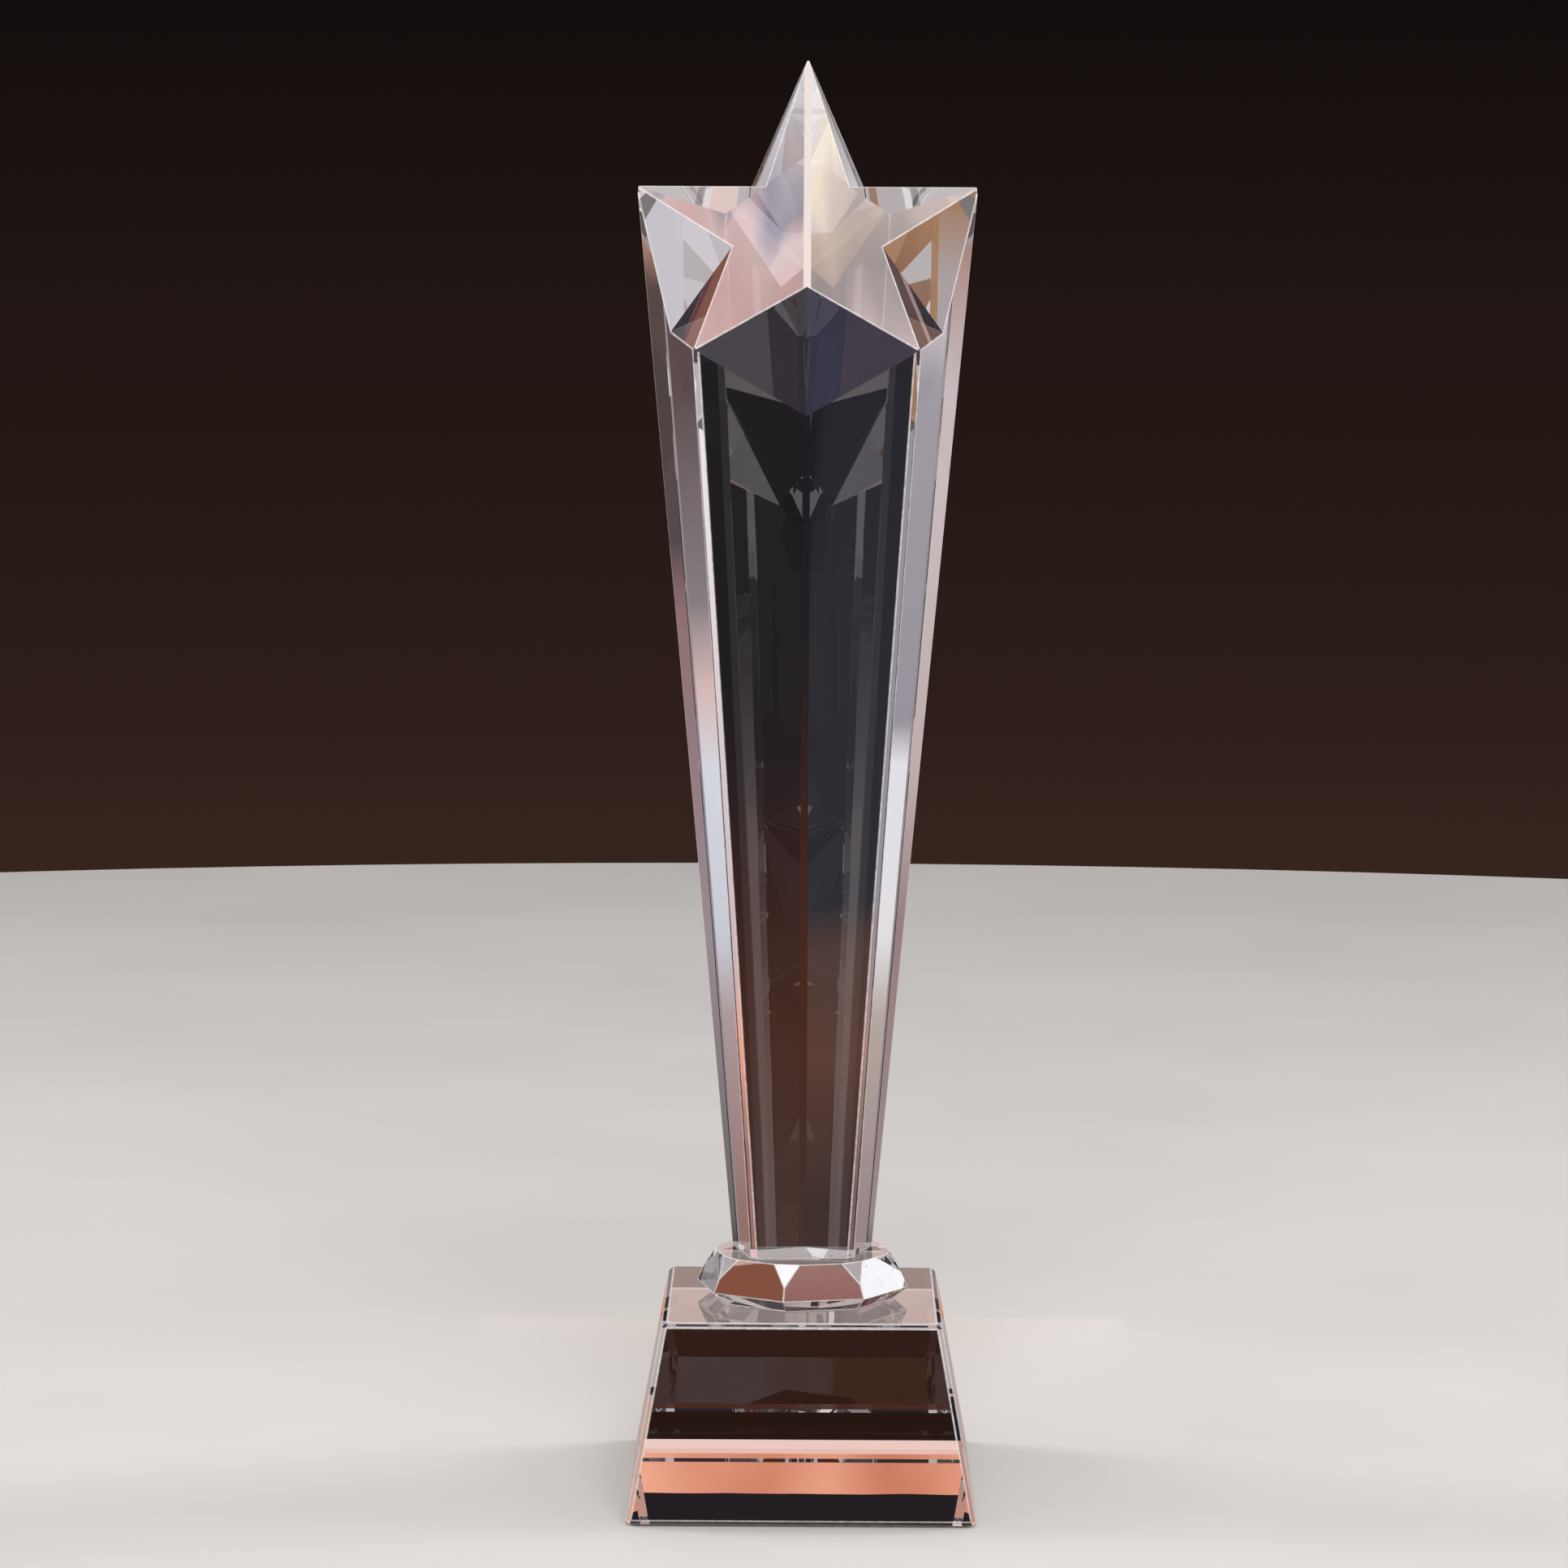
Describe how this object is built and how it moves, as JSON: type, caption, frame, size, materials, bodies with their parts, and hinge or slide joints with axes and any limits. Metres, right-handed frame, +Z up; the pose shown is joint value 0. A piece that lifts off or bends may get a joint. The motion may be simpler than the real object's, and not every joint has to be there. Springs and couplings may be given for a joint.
{
  "type": "star trophy",
  "caption": "Free-standing clear crystal award: a tapering five-sided column cut into a star at its slanted top, on a faceted collar and a slant-fronted base block.",
  "frame": {"origin": "on the base block's underside, directly below the column's axis", "axes": "+Z up along the column's axis, the slanted fronts of the star and of the base face -Y, +X is to the right seen from the front"},
  "size_m": [0.0598, 0.0721, 0.2495],
  "materials": {
    "column_crystal": "polished optical crystal, colourless",
    "collar_crystal": "polished optical crystal, colourless, ground facets",
    "base_crystal": "polished optical crystal, colourless",
    "clear_bond": "clear cured adhesive film"
  },
  "bodies": {
    "root": {"star_column": "column_crystal", "column_bond": "clear_bond", "faceted_collar": "collar_crystal", "collar_bond": "clear_bond", "slanted_base": "base_crystal"}
  },
  "joints": []
}
